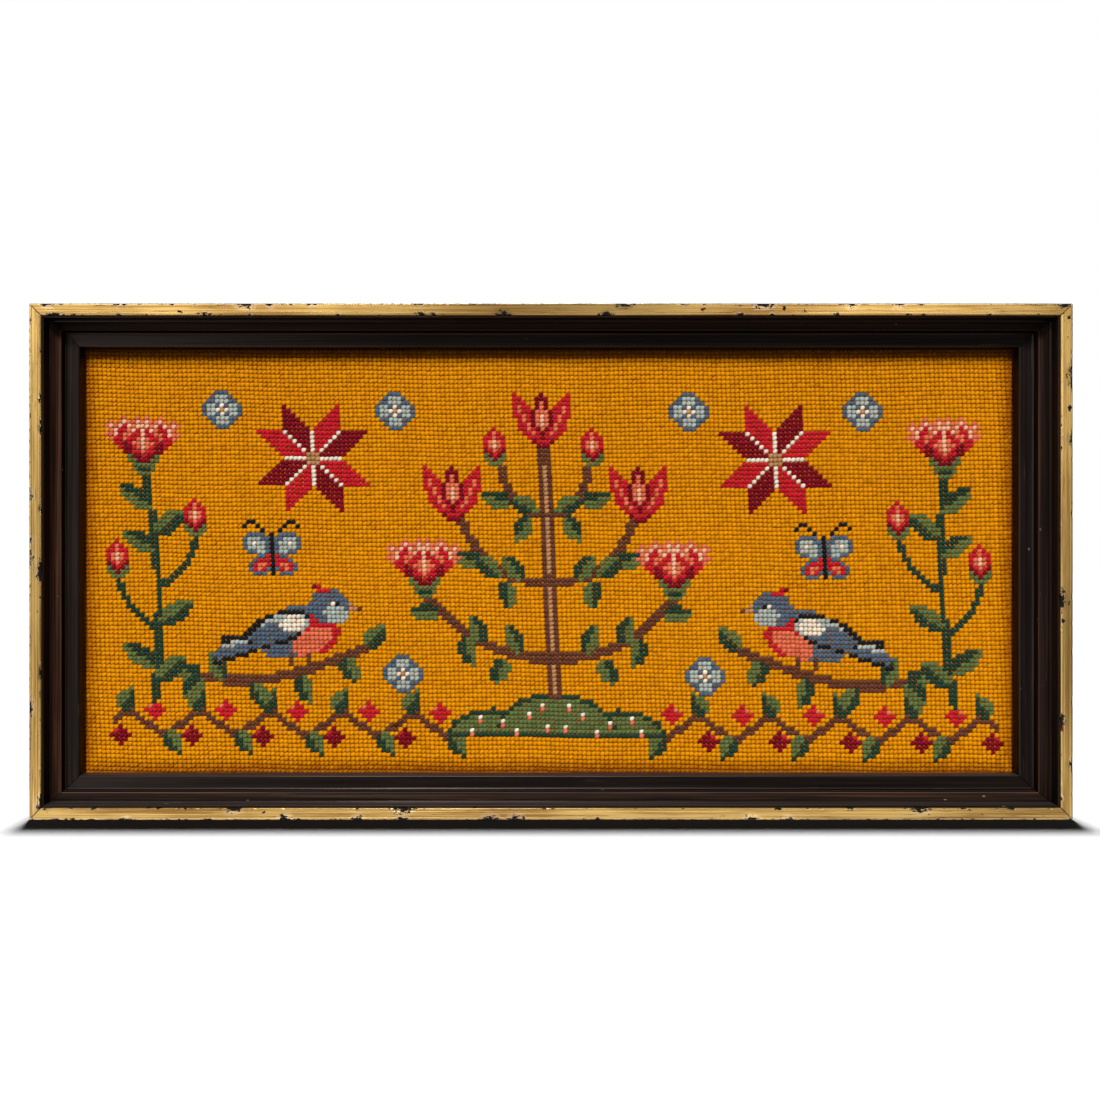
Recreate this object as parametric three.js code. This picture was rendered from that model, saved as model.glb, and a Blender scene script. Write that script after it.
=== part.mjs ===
// Framed needlepoint picture: a stitched canvas in a stepped dark moulding with a gilt edge.
// Millimetres, +Z up. The picture faces -Y and stands on its bottom rail, with the origin under its middle.
import * as THREE from "three";

// Outer size of the frame
const FRAME_WIDTH = 570;
const FRAME_HEIGHT = 282;
const FRAME_DEPTH = 30;

// Clearances between pieces, and the slit at each mitre
const FIT_GAP = 0.3;
const MITRE_GAP = 0.3;

// Gilt strip, laid on a seat along the outer edge of each rail
const GILT_WIDTH = 6.4;
const GILT_THICKNESS = 2;
const GILT_EDGE_ROUND = 0.5;
const GILT_QUIRK = 0.4;

// Rabbet behind the sight edge, which takes the canvas and its board
const SIGHT_EDGE_INSET = 20.6;
const RABBET_INSET = 14.6;
const RABBET_DEPTH = 10;
const RABBET_PLAY = 0.6;

// Stitched canvas, stretched flat but for a low unevenness
const CANVAS_THICKNESS = 2.8;
const CANVAS_CELLS_ACROSS = 36;
const CANVAS_CELLS_UP = 16;
const CANVAS_WAVES = [
  { rise: 0.16, wavesAcross: 1.5, wavesUp: 0.5, turn: 0.6 },
  { rise: 0.11, wavesAcross: 3.5, wavesUp: 1.5, turn: 2.1 },
  { rise: 0.08, wavesAcross: 5.0, wavesUp: 2.5, turn: 4.4 },
];
const CANVAS_UNEVENNESS = CANVAS_WAVES.reduce((sum, wave) => sum + wave.rise, 0);

// Backing board
const BOARD_THICKNESS = 3.6;

// Steps of the moulding, going round the rail's section from the back outer corner.
// inset is measured in from the rail's outer side and height from the frame's back, and round softens the edge.
const SEAT_HEIGHT = FRAME_DEPTH - GILT_THICKNESS - FIT_GAP;
const QUIRK_INSET = GILT_WIDTH + GILT_QUIRK;
const MOULDING_STEPS = [
  { edge: "back outer corner", inset: 0, height: 0, round: 0.6 },
  { edge: "outer side under the gilt", inset: 0, height: SEAT_HEIGHT, round: 0 },
  { edge: "seat of the gilt strip", inset: QUIRK_INSET, height: SEAT_HEIGHT, round: 0 },
  { edge: "arris beside the gilt", inset: QUIRK_INSET, height: 28.8, round: 0.2 },
  { edge: "top of the wall", inset: 7.4, height: 28.8, round: 0.3 },
  { edge: "foot of the wall", inset: 7.7, height: 23.2, round: 0.2 },
  { edge: "fillet above the cove", inset: 8.4, height: 23.1, round: 0.25 },
  { edge: "cove", inset: 8.7, height: 19.9, round: 1.6 },
  { edge: "arris of the upper tread", inset: 11.9, height: 19, round: 0.45 },
  { edge: "quirk under the upper tread", inset: 12.2, height: 15.2, round: 0.15 },
  { edge: "bead, outer side", inset: 12.4, height: 16.1, round: 0.4 },
  { edge: "bead, inner side", inset: 13.3, height: 16.1, round: 0.4 },
  { edge: "start of the lower tread", inset: 13.5, height: 15.5, round: 0.2 },
  { edge: "arris at the sight edge", inset: 19.9, height: 15, round: 0.6 },
  { edge: "foot of the sight wall", inset: SIGHT_EDGE_INSET, height: RABBET_DEPTH, round: 0.2 },
  { edge: "rabbet corner", inset: RABBET_INSET, height: RABBET_DEPTH, round: 0 },
  { edge: "back inner corner", inset: RABBET_INSET, height: 0, round: 0.3 },
];
const GILT_STEPS = [
  { edge: "outer side, under", inset: 0, height: FRAME_DEPTH - GILT_THICKNESS, round: 0 },
  { edge: "outer arris", inset: 0, height: FRAME_DEPTH, round: GILT_EDGE_ROUND },
  { edge: "inner arris", inset: GILT_WIDTH, height: FRAME_DEPTH, round: GILT_EDGE_ROUND },
  { edge: "inner side, under", inset: GILT_WIDTH, height: FRAME_DEPTH - GILT_THICKNESS, round: 0 },
];
const ARC_STEPS = 5;

// The four sides of the frame: turn about the picture's axis, length, and distance of the side from the middle
const QUARTER_TURN = Math.PI / 2;
const SIDES = [
  { side: "bottom", turn: 0, length: FRAME_WIDTH, reach: FRAME_HEIGHT / 2 },
  { side: "left", turn: QUARTER_TURN, length: FRAME_HEIGHT, reach: FRAME_WIDTH / 2 },
  { side: "top", turn: 2 * QUARTER_TURN, length: FRAME_WIDTH, reach: FRAME_HEIGHT / 2 },
  { side: "right", turn: 3 * QUARTER_TURN, length: FRAME_HEIGHT, reach: FRAME_WIDTH / 2 },
];

// Finishes
const giltLeaf = () => new THREE.MeshStandardMaterial({ color: 0xc9a055, roughness: 0.38, metalness: 0.8 });
const darkWood = () => new THREE.MeshStandardMaterial({ color: 0x2a1f1b, roughness: 0.45, metalness: 0 });
const mustardWool = () => new THREE.MeshStandardMaterial({ color: 0xc98408, roughness: 0.95, metalness: 0 });
const brownBoard = () => new THREE.MeshStandardMaterial({ color: 0x8a6a48, roughness: 0.85, metalness: 0 });

// Section outline with each edge softened by its own rounding
function roundedSection(steps) {
  const outline = new THREE.Shape();
  steps.forEach((step, index) => {
    const corner = new THREE.Vector2(step.inset, step.height);
    const before = steps.at(index - 1);
    const after = steps[(index + 1) % steps.length];
    const toBefore = new THREE.Vector2(before.inset, before.height).sub(corner).setLength(step.round);
    const toAfter = new THREE.Vector2(after.inset, after.height).sub(corner).setLength(step.round);
    const start = corner.clone().add(toBefore);
    const end = corner.clone().add(toAfter);
    if (index === 0) outline.moveTo(start.x, start.y);
    else outline.lineTo(start.x, start.y);
    if (step.round > 0) outline.quadraticCurveTo(corner.x, corner.y, end.x, end.y);
  });
  outline.closePath();
  return outline;
}

// Bar of that section along X, its outer side on z = 0 and its back on the frame's back, mitred at both ends
function mitredBar(steps, outerLength) {
  const section = roundedSection(steps);
  const bar = new THREE.ExtrudeGeometry(section, {
    depth: 1,
    steps: 1,
    bevelEnabled: false,
    curveSegments: ARC_STEPS,
  });
  const points = bar.getAttribute("position");
  for (let i = 0; i < points.count; i += 1) {
    const inset = points.getX(i);
    const height = points.getY(i);
    const halfLength = outerLength / 2 - inset - MITRE_GAP / Math.SQRT2;
    const along = points.getZ(i) > 0 ? halfLength : -halfLength;
    points.setXYZ(i, along, FRAME_DEPTH / 2 - height, inset);
  }
  bar.computeVertexNormals();
  return bar;
}

// One side of the frame: its moulding rail and the gilt strip on it, turned to their place round the picture
function frameSide({ side, turn, length, reach }) {
  const rail = new THREE.Mesh(mitredBar(MOULDING_STEPS, length), darkWood());
  rail.name = `rail_${side}`;
  const gilt = new THREE.Mesh(mitredBar(GILT_STEPS, length), giltLeaf());
  gilt.name = `gilt_${side}`;
  const pair = new THREE.Group();
  pair.add(rail, gilt);
  pair.position.z = -reach;
  const turned = new THREE.Group();
  turned.add(pair);
  turned.rotation.y = turn;
  return turned;
}

// Low unevenness of the stretched canvas at a point of its face, from -CANVAS_UNEVENNESS to CANVAS_UNEVENNESS
function canvasRise(x, z) {
  const across = (2 * Math.PI * x) / FRAME_WIDTH;
  const up = (2 * Math.PI * z) / FRAME_HEIGHT;
  return CANVAS_WAVES.reduce(
    (sum, wave) => sum + wave.rise * Math.sin(wave.wavesAcross * across + wave.wavesUp * up + wave.turn),
    0,
  );
}

// Canvas worked all over, held under the sight edge by the rabbet
function needlepointPanel() {
  const width = FRAME_WIDTH - 2 * (RABBET_INSET + RABBET_PLAY);
  const height = FRAME_HEIGHT - 2 * (RABBET_INSET + RABBET_PLAY);
  const sheet = new THREE.BoxGeometry(
    width,
    CANVAS_THICKNESS,
    height,
    CANVAS_CELLS_ACROSS,
    1,
    CANVAS_CELLS_UP,
  );
  const points = sheet.getAttribute("position");
  for (let i = 0; i < points.count; i += 1) {
    points.setY(i, points.getY(i) - canvasRise(points.getX(i), points.getZ(i)));
  }
  sheet.computeVertexNormals();
  const panel = new THREE.Mesh(sheet, mustardWool());
  panel.name = "needlepoint_panel";
  panel.position.y = FRAME_DEPTH / 2 - canvasMiddleHeight();
  return panel;
}

// Height of the canvas's middle above the frame's back, just clear of the rabbet's lip
function canvasMiddleHeight() {
  return RABBET_DEPTH - FIT_GAP - CANVAS_UNEVENNESS - CANVAS_THICKNESS / 2;
}

// Plain board behind the canvas
function backingBoard() {
  const width = FRAME_WIDTH - 2 * (RABBET_INSET + RABBET_PLAY);
  const height = FRAME_HEIGHT - 2 * (RABBET_INSET + RABBET_PLAY);
  const board = new THREE.Mesh(new THREE.BoxGeometry(width, BOARD_THICKNESS, height), brownBoard());
  board.name = "backing_board";
  const canvasBack = canvasMiddleHeight() - CANVAS_THICKNESS / 2 - CANVAS_UNEVENNESS;
  board.position.y = FRAME_DEPTH / 2 - (canvasBack - FIT_GAP - BOARD_THICKNESS / 2);
  return board;
}

// The whole picture, standing on its bottom rail
const picture = new THREE.Group();
picture.position.z = FRAME_HEIGHT / 2;
SIDES.forEach((side) => picture.add(frameSide(side)));
picture.add(needlepointPanel(), backingBoard());

const framedNeedlepoint = new THREE.Group();
framedNeedlepoint.add(picture);

export default framedNeedlepoint;
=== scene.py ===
"""Looks of a framed needlepoint picture: a stitched canvas in a dark stepped frame with a gilt edge.

Metres, +Z up. The picture faces -Y and stands on its bottom rail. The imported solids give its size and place.
"""

import logging
import math
from dataclasses import dataclass, field
from enum import Enum
from typing import Callable, Iterable, NamedTuple, Union

import bmesh
import bpy
import numpy as np
from mathutils import Matrix, Vector


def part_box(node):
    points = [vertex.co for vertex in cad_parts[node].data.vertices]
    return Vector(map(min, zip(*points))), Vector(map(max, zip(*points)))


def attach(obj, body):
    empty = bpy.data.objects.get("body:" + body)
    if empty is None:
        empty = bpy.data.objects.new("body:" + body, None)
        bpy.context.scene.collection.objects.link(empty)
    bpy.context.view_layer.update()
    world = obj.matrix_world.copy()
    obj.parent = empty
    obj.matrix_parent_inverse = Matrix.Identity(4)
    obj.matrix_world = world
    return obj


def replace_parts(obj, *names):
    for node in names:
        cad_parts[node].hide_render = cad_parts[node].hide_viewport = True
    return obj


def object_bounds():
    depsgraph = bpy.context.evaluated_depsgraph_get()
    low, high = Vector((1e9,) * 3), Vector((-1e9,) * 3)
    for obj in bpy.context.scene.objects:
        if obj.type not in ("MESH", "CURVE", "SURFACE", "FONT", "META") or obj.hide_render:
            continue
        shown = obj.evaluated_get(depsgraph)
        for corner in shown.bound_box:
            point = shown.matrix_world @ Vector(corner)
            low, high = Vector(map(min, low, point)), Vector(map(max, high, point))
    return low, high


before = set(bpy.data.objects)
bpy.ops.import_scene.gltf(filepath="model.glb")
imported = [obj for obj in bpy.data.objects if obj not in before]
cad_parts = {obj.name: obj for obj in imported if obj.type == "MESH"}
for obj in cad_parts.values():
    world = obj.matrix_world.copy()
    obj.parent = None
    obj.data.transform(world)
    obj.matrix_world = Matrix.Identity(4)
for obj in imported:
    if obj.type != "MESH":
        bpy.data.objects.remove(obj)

MM = 0.001
BODY = "root"
CAD_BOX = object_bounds()

Colour = tuple[float, float, float]
Triple = tuple[float, float, float]
Pair = tuple[float, float]
Feed = Union[float, Triple, Colour, bpy.types.NodeSocket]

LastTouches = Callable[[bmesh.types.BMesh, float, int], None]

log = logging.getLogger("needlepoint")


def screen(red: int, green: int, blue: int) -> Colour:
    """Turns a colour as a screen shows it into the linear one that a shader takes.

    Args:
        red: red, from 0 to 255.
        green: green, from 0 to 255.
        blue: blue, from 0 to 255.

    Returns:
        The linear colour, each part from 0 to 1.
    """
    shares = (part / 255 for part in (red, green, blue))
    return tuple(s / 12.92 if s <= 0.04045 else ((s + 0.055) / 1.055) ** 2.4 for s in shares)


def shaded(colour: Colour, share: float, depth: float = 1.0) -> Colour:
    """Gives a colour times a share of its brightness.

    Args:
        colour: the colour.
        share: the share.
        depth: how much richer it gets, 1 being not at all.

    Returns:
        The shaded colour.
    """
    return tuple(min(1.0, share * part**depth) for part in colour)


class Run(Enum):
    """The way a bar's grain runs, as the texture scale along and across it."""

    ALONG_X = (0,)
    ALONG_Z = (2,)

    def stretch(self, along: float, across: float) -> Triple:
        """Gives a texture scale that is drawn out along the grain.

        Args:
            along: marks per metre along the grain.
            across: marks per metre across it.

        Returns:
            The scale on X, Y and Z.
        """
        return tuple(along if axis in self.value else across for axis in range(3))


class NodeSketch:
    """Writes one node tree, a node at a time."""

    def __init__(self, tree: bpy.types.NodeTree) -> None:
        """Starts on a tree that may already hold some nodes."""
        self.tree = tree

    @classmethod
    def of_material(cls, name: str) -> "NodeSketch":
        """Starts a material that holds a bare Principled shader."""
        material = bpy.data.materials.new(name)
        material.use_nodes = True
        return cls(material.node_tree)

    @property
    def material(self) -> bpy.types.Material:
        """The material whose tree this is."""
        return next(m for m in bpy.data.materials if m.node_tree == self.tree)

    def feed(self, socket: bpy.types.NodeSocket, value: Feed) -> None:
        """Sets a socket to a value, or links it to another socket."""
        if isinstance(value, bpy.types.NodeSocket):
            self.tree.links.new(value, socket)
        elif socket.type == "RGBA":
            socket.default_value = (*value[:3], 1.0)
        else:
            socket.default_value = value

    def dress(self, **values: Feed) -> None:
        """Feeds the shader's sockets, named in small letters with _ for a space."""
        inputs = self.tree.nodes["Principled BSDF"].inputs
        sockets = {socket.name.lower().replace(" ", "_"): socket for socket in inputs}
        for name, value in values.items():
            self.feed(sockets[name], value)

    def add(self, kind: str, feeds: dict[Union[str, int], Feed], **settings: object) -> bpy.types.Node:
        """Adds a node.

        Args:
            kind: the node's type.
            feeds: values or sockets for its inputs.
            settings: its own properties.

        Returns:
            The new node.
        """
        node = self.tree.nodes.new(kind)
        for name, value in settings.items():
            setattr(node, name, value)
        for name, value in feeds.items():
            self.feed(node.inputs[name], value)
        return node

    def places(self, scale: Triple = (1, 1, 1), turn: Triple = (0, 0, 0)) -> bpy.types.NodeSocket:
        """Gives object coordinates, turned and scaled."""
        source = self.add("ShaderNodeTexCoord", {}).outputs["Object"]
        return self.add("ShaderNodeMapping", {0: source, "Scale": scale, "Rotation": turn}).outputs[0]

    def noise(
        self, where: Feed, scale: float, detail: float = 3, rough: float = 0.55
    ) -> bpy.types.NodeSocket:
        """Gives soft cloudy noise from 0 to 1."""
        feeds = {"Vector": where, "Scale": scale, "Detail": detail, "Roughness": rough}
        return self.add("ShaderNodeTexNoise", feeds).outputs["Fac"]

    def streaks(self, scale: Triple, detail: float = 3, rough: float = 0.55) -> bpy.types.NodeSocket:
        """Gives soft noise with its own scale on each axis, from 0 to 1."""
        return self.noise(self.places(scale), 1, detail, rough)

    def cells(self, where: Feed, scale: float) -> bpy.types.NodeSocket:
        """Gives the distance to the nearest of many scattered points."""
        return self.add("ShaderNodeTexVoronoi", {"Vector": where, "Scale": scale}).outputs["Distance"]

    def wave(self, where: Feed, waver: float) -> bpy.types.NodeSocket:
        """Gives even bands across X, from 0 to 1."""
        feeds = {"Vector": where, "Scale": 1, "Distortion": waver}
        return self.add("ShaderNodeTexWave", feeds).outputs["Fac"]

    def share(self, name: str) -> bpy.types.NodeSocket:
        """Reads one of the piece's own number attributes."""
        return self.add("ShaderNodeAttribute", {}, attribute_name=name).outputs["Fac"]

    def step(self, value: Feed, marks: Pair, to: Pair = (0, 1)) -> bpy.types.NodeSocket:
        """Gives a soft step of a value, from its first mark to its second one."""
        feeds = {"Value": value, "From Min": marks[0], "From Max": marks[1]}
        feeds |= {"To Min": to[0], "To Max": to[1]}
        return self.add("ShaderNodeMapRange", feeds, interpolation_type="SMOOTHSTEP").outputs[0]

    def sums(self, operation: str, first: Feed, second: Feed) -> bpy.types.NodeSocket:
        """Gives the result of one sum on two numbers."""
        return self.add("ShaderNodeMath", {0: first, 1: second}, operation=operation).outputs[0]

    def blend(self, share: Feed, first: Feed, second: Feed) -> bpy.types.NodeSocket:
        """Gives a colour between two colours."""
        node = self.add("ShaderNodeMix", {0: share}, data_type="RGBA")
        self.feed(node.inputs[6], first)
        self.feed(node.inputs[7], second)
        return node.outputs[2]

    def times(self, first: Feed, second: Feed) -> bpy.types.NodeSocket:
        """Gives one number times another."""
        return self.sums("MULTIPLY", first, second)

    def plus(self, first: Feed, second: Feed) -> bpy.types.NodeSocket:
        """Gives the sum of two numbers."""
        return self.sums("ADD", first, second)

    def bump(self, height: Feed, rise: float, strength: float, over: Feed = None) -> bpy.types.NodeSocket:
        """Gives a normal that is raised by a height.

        Args:
            height: the height, from 0 to 1.
            rise: how far 1 stands up, in metres.
            strength: share of the effect.
            over: a bump to lay this one on.

        Returns:
            The normal for the shader.
        """
        feeds = {"Height": height, "Distance": rise, "Strength": strength}
        if over is not None:
            feeds["Normal"] = over
        return self.add("ShaderNodeBump", feeds).outputs[0]


@dataclass(frozen=True)
class GiltFinish:
    """Gold leaf, drawn out in fine lines along the strip and chipped to the black ground at its edges."""

    bright: Colour = screen(191, 157, 92)
    deep: Colour = screen(132, 96, 46)
    ground: Colour = screen(20, 15, 13)
    bole: Colour = screen(112, 42, 28)
    # Marks per metre along and across the strip
    lines: Pair = (16, 1700)
    patches: Pair = (14, 90)
    torn_edges: Pair = (380, 800)
    hairs: Pair = (60, 2300)
    speck_stretch: Pair = (0.6, 1)
    # Marks per metre every way
    speck_scale: float = 170
    scatter_scale: float = 38
    rag_scale: float = 750
    bole_scale: float = 90
    # Where each soft step starts and ends
    leaf_marks: Pair = (0.36, 0.62)
    torn_marks: Pair = (0.27, 0.73)
    chip_marks: Pair = (0.99, 1.02)
    speck_marks: Pair = (0.61, 0.57)
    hair_marks: Pair = (0.67, 0.72)
    bole_marks: Pair = (0.66, 0.72)
    burnish_marks: Pair = (0.02, 0.3)
    coat_marks: Pair = (0.02, 0.2)
    polish_marks: Pair = (0.3, 0.7)
    # Shares and levels
    line_share: float = 0.6
    scatter_share: float = 0.5
    hair_share: float = 0.6
    polish: Pair = (0.42, 0.34)
    burnish: float = -0.1
    dulled: float = 0.4
    metal: float = 0.82
    line_rise: float = 0.06 * MM
    line_strength: float = 0.6
    chip_rise: float = -0.12 * MM
    chip_strength: float = 0.8

    def material(self, name: str, run: Run) -> bpy.types.Material:
        """Makes the finish for strips that run one way.

        Args:
            name: the material's name.
            run: the way the strip runs.

        Returns:
            The material.
        """
        sketch = NodeSketch.of_material(name)
        lines = sketch.streaks(run.stretch(*self.lines), 4, 0.6)
        patches = sketch.streaks(run.stretch(*self.patches))
        tone = sketch.plus(
            sketch.times(lines, self.line_share), sketch.times(patches, 1 - self.line_share)
        )
        leaf = sketch.blend(sketch.step(tone, self.leaf_marks), self.deep, self.bright)
        worn = self.worn(sketch, run)
        red = sketch.step(sketch.noise(sketch.places(), self.bole_scale, 1), self.bole_marks)
        under = sketch.blend(red, self.ground, self.bole)
        burnished = sketch.step(sketch.share("bare"), self.burnish_marks, (0, self.burnish))
        rough = sketch.plus(sketch.step(tone, self.polish_marks, self.polish), burnished)
        raised = sketch.bump(lines, self.line_rise, self.line_strength)
        sketch.dress(
            base_color=sketch.blend(worn, leaf, under),
            metallic=sketch.step(worn, (0, 1), (self.metal, 0)),
            specular_ior_level=0.12,
            roughness=sketch.plus(rough, sketch.times(worn, self.dulled)),
            coat_weight=sketch.sums("SUBTRACT", sketch.step(sketch.share("bare"), self.coat_marks), worn),
            coat_roughness=0.12,
            normal=sketch.bump(worn, self.chip_rise, self.chip_strength, raised),
        )
        return sketch.material

    def worn(self, sketch: NodeSketch, run: Run) -> bpy.types.NodeSocket:
        """Gives where the leaf is off: chips along the arrises, torn specks and fine hairs."""
        ragged = sketch.step(sketch.streaks(run.stretch(*self.torn_edges), 4, 0.65), self.torn_marks)
        chips = sketch.step(sketch.plus(sketch.share("bare"), ragged), self.chip_marks)
        scatter = sketch.times(sketch.noise(sketch.places(), self.scatter_scale, 2), self.scatter_share)
        rags = sketch.times(sketch.noise(sketch.places(), self.rag_scale, 3), self.scatter_share)
        dots = sketch.cells(sketch.places(run.stretch(*self.speck_stretch)), self.speck_scale)
        specks = sketch.step(sketch.plus(sketch.plus(dots, scatter), rags), self.speck_marks)
        drawn = sketch.streaks(run.stretch(*self.hairs), 2)
        hairs = sketch.step(drawn, self.hair_marks, (0, self.hair_share))
        return sketch.sums("MAXIMUM", sketch.sums("MAXIMUM", chips, specks), hairs)


@dataclass(frozen=True)
class DarkWoodFinish:
    """Dark stained wood under a satin varnish, worn brown on its arrises, with dust and fine scratches, and a
    grey film on faces turned up that is part dust, part painted sheen.
    """

    stain: Colour = screen(12, 8, 6)
    vein: Colour = screen(22, 14, 11)
    worn: Colour = screen(114, 75, 54)
    dust: Colour = screen(150, 128, 108)
    # Grey film on faces turned up: part settled dust, part painted sheen of light from above
    settled: Colour = screen(140, 126, 120)
    sheen: Colour = (1, 0.76, 0.68)
    # Marks per metre along and across the grain
    grain: Pair = (9, 620)
    cloud: Pair = (6, 30)
    rub: Pair = (9, 900)
    scratches: Pair = (30, 2600)
    speck_stretch: Pair = (0.6, 1)
    # Marks per metre every way
    speck_scale: float = 120
    sparse_scale: float = 55
    # Where each soft step starts and ends
    vein_marks: Pair = (0.42, 0.7)
    bare_marks: Pair = (1.02, 1.4)
    speck_marks: Pair = (0.075, 0.045)
    sparse_marks: Pair = (0.55, 0.62)
    scratch_marks: Pair = (0.71, 0.78)
    upward_marks: Pair = (0.5, 0.95)
    wear_marks: Pair = (0.3, 0.6)
    middle_marks: Pair = (0.3, 0.7)
    # Shares and levels
    rub_share: float = 0.5
    scratch_share: float = 0.4
    dust_share: float = 0.6
    settled_share: Pair = (0.048, 0.12)
    shine: Pair = (0.28, 0.1)
    grain_shine: Pair = (0.7, 1.3)
    gloss: Pair = (0.27, 0.38)
    worn_dull: float = 0.25
    dust_dull: float = 0.4
    grain_rise: float = 0.04 * MM
    grain_strength: float = 0.45

    def material(self, name: str, run: Run) -> bpy.types.Material:
        """Makes the finish for rails that run one way.

        Args:
            name: the material's name.
            run: the way the rail runs.

        Returns:
            The material.
        """
        sketch = NodeSketch.of_material(name)
        grain = sketch.streaks(run.stretch(*self.grain), 4, 0.6)
        cloud = sketch.streaks(run.stretch(*self.cloud))
        rubbed = sketch.streaks(run.stretch(*self.rub), 4, 0.65)
        wood = sketch.blend(sketch.step(grain, self.vein_marks), self.stain, self.vein)
        wear = sketch.plus(sketch.share("wear"), sketch.times(rubbed, self.rub_share))
        bared = sketch.blend(sketch.step(wear, self.bare_marks), wood, self.worn)
        coloured = sketch.blend(self.settled_dust_and_painted_sheen(sketch, rubbed), bared, self.settled)
        dust = self.dusted(sketch, run)
        shine = sketch.step(sketch.share("wear"), self.wear_marks, self.shine)
        dull = sketch.step(sketch.share("wear"), self.wear_marks, (0, self.worn_dull))
        gloss = sketch.plus(sketch.step(cloud, self.middle_marks, self.gloss), dull)
        sketch.dress(
            base_color=sketch.blend(dust, coloured, self.dust),
            specular_ior_level=sketch.times(shine, sketch.step(grain, self.middle_marks, self.grain_shine)),
            specular_tint=self.sheen,
            roughness=sketch.plus(gloss, sketch.times(dust, self.dust_dull)),
            normal=sketch.bump(grain, self.grain_rise, self.grain_strength),
        )
        return sketch.material

    def settled_dust_and_painted_sheen(self, sketch: NodeSketch, rubbed: Feed) -> bpy.types.NodeSocket:
        """Gives the share of the grey film on faces turned up, part settled dust and part painted sheen of
        light from above, but not where the wood is worn.
        """
        facing = sketch.add("ShaderNodeNewGeometry", {}).outputs["Normal"]
        height = sketch.add("ShaderNodeSeparateXYZ", {0: facing}).outputs["Z"]
        kept = sketch.step(sketch.share("wear"), self.wear_marks, (1, 0))
        patchy = sketch.step(rubbed, self.middle_marks, self.settled_share)
        return sketch.times(sketch.times(sketch.step(height, self.upward_marks), kept), patchy)

    def dusted(self, sketch: NodeSketch, run: Run) -> bpy.types.NodeSocket:
        """Gives the share of loose specks of dust and of fine scratches along the grain."""
        dots = sketch.cells(sketch.places(run.stretch(*self.speck_stretch)), self.speck_scale)
        sparse = sketch.step(sketch.noise(sketch.places(), self.sparse_scale, 1), self.sparse_marks)
        specks = sketch.times(sketch.step(dots, self.speck_marks), sparse)
        scratched = sketch.step(sketch.streaks(run.stretch(*self.scratches), 2), self.scratch_marks)
        marks = sketch.sums("MAXIMUM", specks, sketch.times(scratched, self.scratch_share))
        return sketch.times(marks, self.dust_share)


@dataclass(frozen=True)
class WoolFinish:
    """Twisted wool of one dye, each stitch a little lighter or darker, with a soft sheen, painted light on
    each stitch's crown and painted shade in its creases and between its fibres.
    """

    dye: Colour
    # Shares of the dye at tone 1 and tone 0: painted light on the stitches' crowns, and painted shade, deeper
    # and richer, in their creases
    lightest: float = 1.12
    painted_shade_share: float = 0.45
    painted_shade_richness: float = 1.6
    faded: float = 1.3
    fade: float = 0.12
    fade_scale: float = 9
    fade_marks: Pair = (0.35, 0.7)
    slant: float = math.radians(45)
    fibres: Triple = (500, 900, 2600)
    fibre_marks: Pair = (0.25, 0.5)
    fibre_shade: float = 0.3
    fibre_rise: float = 0.12 * MM
    fibre_strength: float = 0.7

    def material(self, name: str) -> bpy.types.Material:
        """Makes the finish under a name."""
        sketch = NodeSketch.of_material(name)
        painted_shade = shaded(self.dye, self.painted_shade_share, self.painted_shade_richness)
        pale = shaded(self.dye, self.faded)
        strand = sketch.blend(sketch.share("tone"), painted_shade, shaded(self.dye, self.lightest))
        slanted = sketch.places((1, 1, 1), (0, self.slant, 0))
        stretched = sketch.add("ShaderNodeMapping", {0: slanted, "Scale": self.fibres}).outputs[0]
        fibres = sketch.noise(stretched, 1, 3, 0.6)
        patches = sketch.noise(sketch.places(), self.fade_scale, 3)
        soft = sketch.blend(sketch.step(patches, self.fade_marks, (0, self.fade)), strand, pale)
        # Painted shade in the gaps between the fibres
        between = sketch.step(fibres, self.fibre_marks, (self.fibre_shade, 0))
        sketch.dress(
            base_color=sketch.blend(between, soft, painted_shade),
            roughness=0.9,
            sheen_weight=0.06,
            sheen_roughness=0.5,
            sheen_tint=pale,
            specular_ior_level=0.06,
            normal=sketch.bump(fibres, self.fibre_rise, self.fibre_strength),
        )
        return sketch.material


@dataclass(frozen=True)
class CanvasFinish:
    """Stiff canvas behind the stitches, tinted like the ground wool."""

    thread: Colour = screen(206, 122, 2)
    shadow: Colour = screen(160, 86, 1)
    threads_per_metre: float = 124
    waver: float = 0.4
    thread_rise: float = 0.2 * MM
    thread_strength: float = 0.6

    def material(self, name: str) -> bpy.types.Material:
        """Makes the finish under a name."""
        sketch = NodeSketch.of_material(name)
        scale = (self.threads_per_metre, 1, 1)
        upright = sketch.wave(sketch.places(scale), self.waver)
        level = sketch.wave(sketch.places(scale, (0, math.radians(90), 0)), self.waver)
        weave = sketch.times(upright, level)
        sketch.dress(
            base_color=sketch.blend(weave, self.shadow, self.thread),
            roughness=0.95,
            normal=sketch.bump(weave, self.thread_rise, self.thread_strength),
        )
        return sketch.material


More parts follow.
